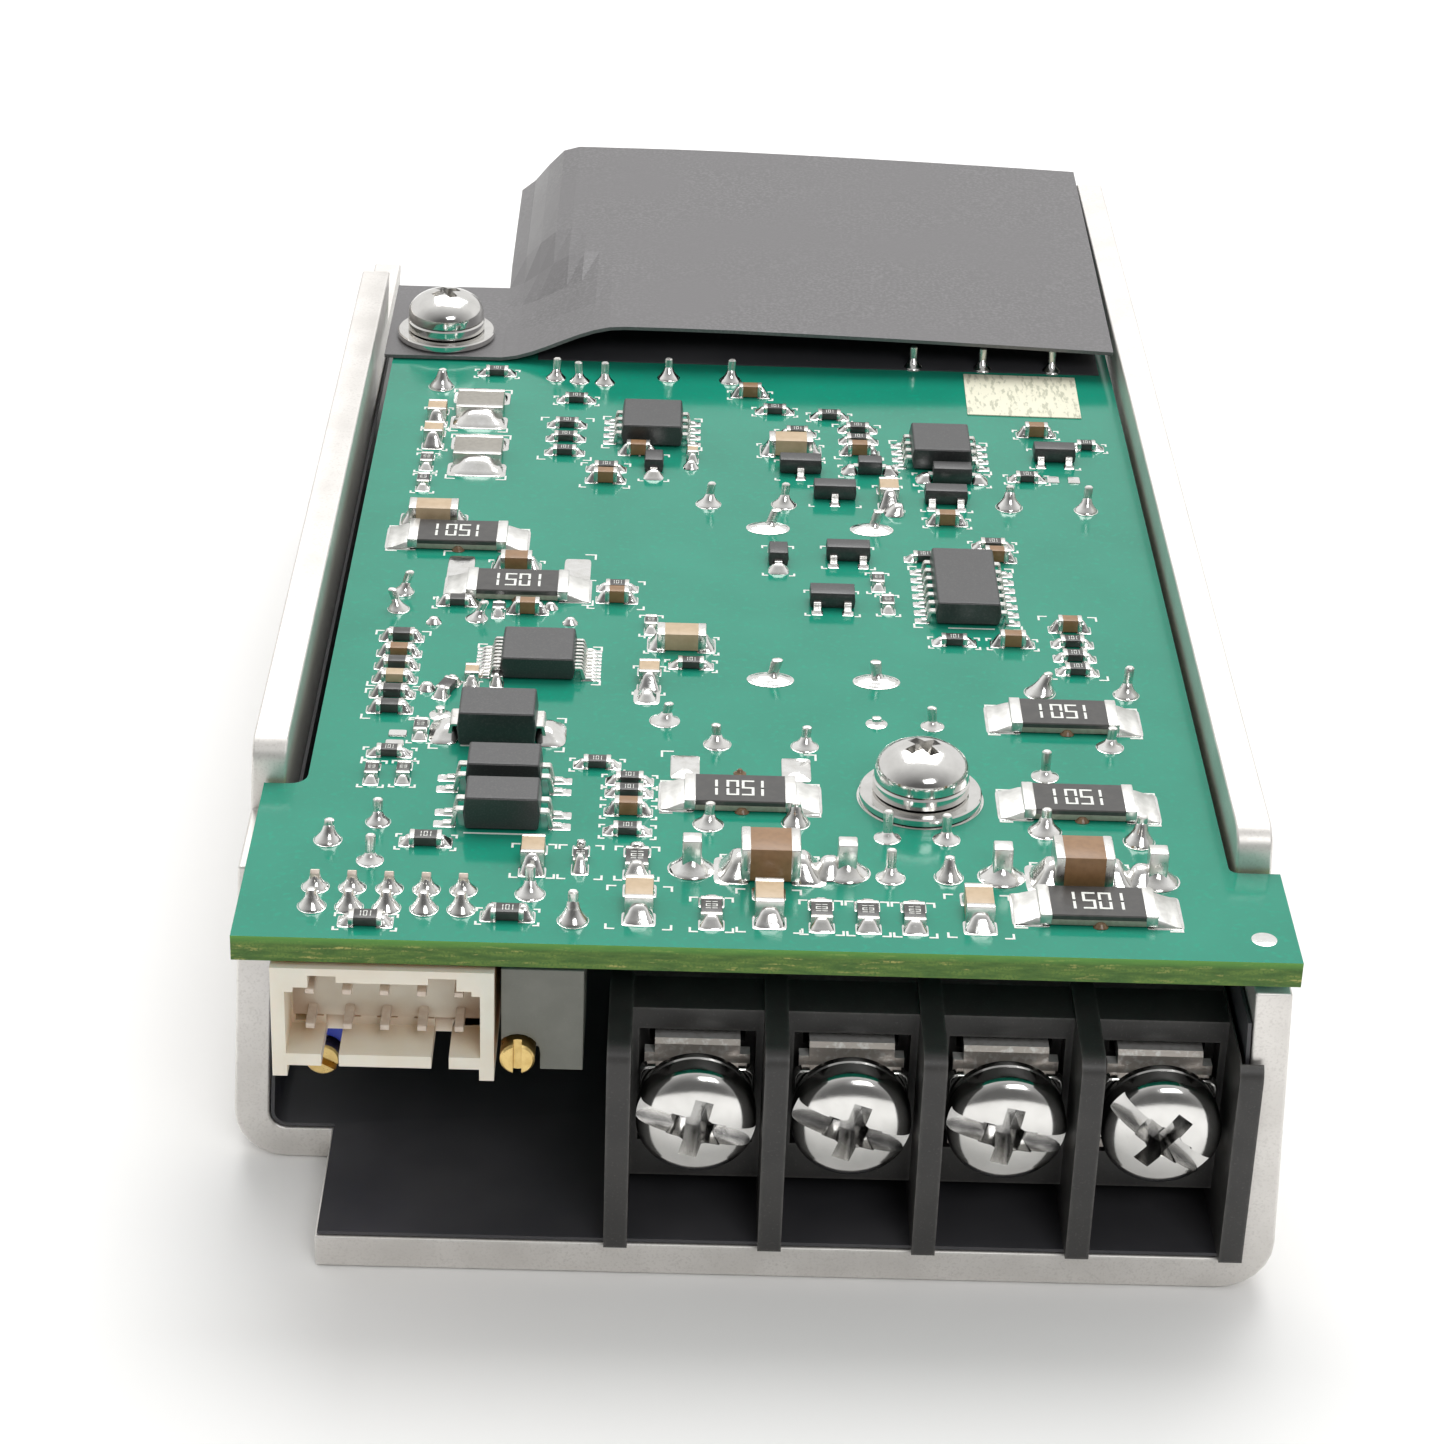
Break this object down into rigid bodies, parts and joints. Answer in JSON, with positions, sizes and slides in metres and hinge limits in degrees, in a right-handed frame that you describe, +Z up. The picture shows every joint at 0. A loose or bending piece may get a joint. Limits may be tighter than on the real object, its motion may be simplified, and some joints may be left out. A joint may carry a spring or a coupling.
{
  "type": "stepper driver module",
  "caption": "Open-frame stepper driver: a circuit board, solder side up, in a bent aluminium channel, with a screw terminal block, a signal socket and trimmers at one end.",
  "frame": {"origin": "centre of the chassis base's underside, halfway along its length and width", "axes": "+Z up from the base to the board, +X to the right seen from the terminal end, +Y from the terminal end to the other end"},
  "size_m": [0.0588, 0.1143, 0.0256],
  "materials": {
    "aluminium": "bead-blasted, light oxide, satin",
    "black_film": "satin insulating film",
    "cover_film": "fine-grained satin film",
    "board": "glossy green solder mask over glass laminate",
    "black_plastic": "moulded, slightly glossy on edges",
    "ivory_plastic": "moulded, slightly translucent",
    "nickel": "bright plated steel",
    "brass": "turned",
    "grey_plastic": "moulded, fine grain",
    "blue_plastic": "moulded",
    "chip_black": "moulded epoxy, fine grain",
    "resistor": "glazed ceramic",
    "capacitor_sleeve": "shrunk sleeve",
    "ferrite": "sintered, matt",
    "thermal_rubber": "silicone pad"
  },
  "bodies": {
    "module": {"chassis": "aluminium", "base_insulation_film": "black_film", "circuit_board": "board", "cover_film": "cover_film", "terminal_housing": "black_plastic", "signal_connector_housing": "ivory_plastic", "grey_trimmer_body": "grey_plastic", "blue_trimmer_body": "blue_plastic", "power_transformer": "ferrite", "power_stage_module": "black_plastic", "thermal_pad": "thermal_rubber", "terminal_contact_1": "nickel", "terminal_contact_2": "nickel", "terminal_contact_3": "nickel", "terminal_contact_4": "nickel", "signal_pin_front_1": "nickel", "signal_pin_rear_1": "nickel", "signal_pin_front_2": "nickel", "signal_pin_rear_2": "nickel", "signal_pin_front_3": "nickel", "signal_pin_rear_3": "nickel", "signal_pin_front_4": "nickel", "signal_pin_rear_4": "nickel", "signal_pin_front_5": "nickel", "signal_pin_rear_5": "nickel", "front_board_screw": "nickel", "front_spring_washer": "nickel", "front_flat_washer": "nickel", "front_standoff": "brass", "rear_board_screw": "nickel", "rear_spring_washer": "nickel", "rear_flat_washer": "nickel", "rear_standoff": "brass", "control_chip": "chip_black", "logic_chip": "chip_black", "driver_chip_left": "chip_black", "driver_chip_right": "chip_black", "rectifier_diode": "chip_black", "optocoupler_1": "chip_black", "optocoupler_2": "chip_black", "power_resistor_1": "resistor", "power_resistor_2": "resistor", "power_resistor_3": "resistor", "power_resistor_4": "resistor", "power_resistor_5": "resistor", "power_resistor_6": "resistor", "bulk_capacitor_1": "capacitor_sleeve", "bulk_capacitor_2": "capacitor_sleeve", "bulk_capacitor_3": "capacitor_sleeve"},
    "clamp_1": {"terminal_clamp_plate_1": "nickel"},
    "screw_1": {"terminal_screw_1": "nickel"},
    "clamp_2": {"terminal_clamp_plate_2": "nickel"},
    "screw_2": {"terminal_screw_2": "nickel"},
    "clamp_3": {"terminal_clamp_plate_3": "nickel"},
    "screw_3": {"terminal_screw_3": "nickel"},
    "clamp_4": {"terminal_clamp_plate_4": "nickel"},
    "screw_4": {"terminal_screw_4": "nickel"},
    "grey_adjuster": {"grey_trimmer_screw": "brass"},
    "blue_adjuster": {"blue_trimmer_screw": "brass"}
  },
  "joints": [
    {"name": "clamp_travel_1", "type": "slide", "parent": "module", "child": "clamp_1", "axis": [0, -1, 0], "range_m": [0, 0.0024]},
    {"name": "screw_turn_1", "type": "hinge", "parent": "clamp_1", "child": "screw_1", "pos_m": [-0.0029, -0.0531, 0.0097], "axis": [0, -1, 0], "range_deg": [0, 1441]},
    {"name": "clamp_travel_2", "type": "slide", "parent": "module", "child": "clamp_2", "axis": [0, -1, 0], "range_m": [0, 0.0024]},
    {"name": "screw_turn_2", "type": "hinge", "parent": "clamp_2", "child": "screw_2", "pos_m": [0.0056, -0.0531, 0.0097], "axis": [0, -1, 0], "range_deg": [0, 1441]},
    {"name": "clamp_travel_3", "type": "slide", "parent": "module", "child": "clamp_3", "axis": [0, -1, 0], "range_m": [0, 0.0024]},
    {"name": "screw_turn_3", "type": "hinge", "parent": "clamp_3", "child": "screw_3", "pos_m": [0.0141, -0.0531, 0.0097], "axis": [0, -1, 0], "range_deg": [0, 1441]},
    {"name": "clamp_travel_4", "type": "slide", "parent": "module", "child": "clamp_4", "axis": [0, -1, 0], "range_m": [0, 0.0024]},
    {"name": "screw_turn_4", "type": "hinge", "parent": "clamp_4", "child": "screw_4", "pos_m": [0.0226, -0.0531, 0.0097], "axis": [0, -1, 0], "range_deg": [0, 1441]},
    {"name": "grey_trimmer_turn", "type": "hinge", "parent": "module", "child": "grey_adjuster", "pos_m": [-0.0126, -0.05585, 0.0144], "axis": [0, -1, 0], "continuous": true},
    {"name": "blue_trimmer_turn", "type": "hinge", "parent": "module", "child": "blue_adjuster", "pos_m": [-0.0238, -0.0487, 0.00925], "axis": [0, -1, 0], "continuous": true}
  ],
  "couplings": [
    {"joint": "screw_turn_1", "follows": "clamp_travel_1", "rad_per_m": 10472},
    {"joint": "screw_turn_2", "follows": "clamp_travel_2", "rad_per_m": 10472},
    {"joint": "screw_turn_3", "follows": "clamp_travel_3", "rad_per_m": 10472},
    {"joint": "screw_turn_4", "follows": "clamp_travel_4", "rad_per_m": 10472}
  ]
}
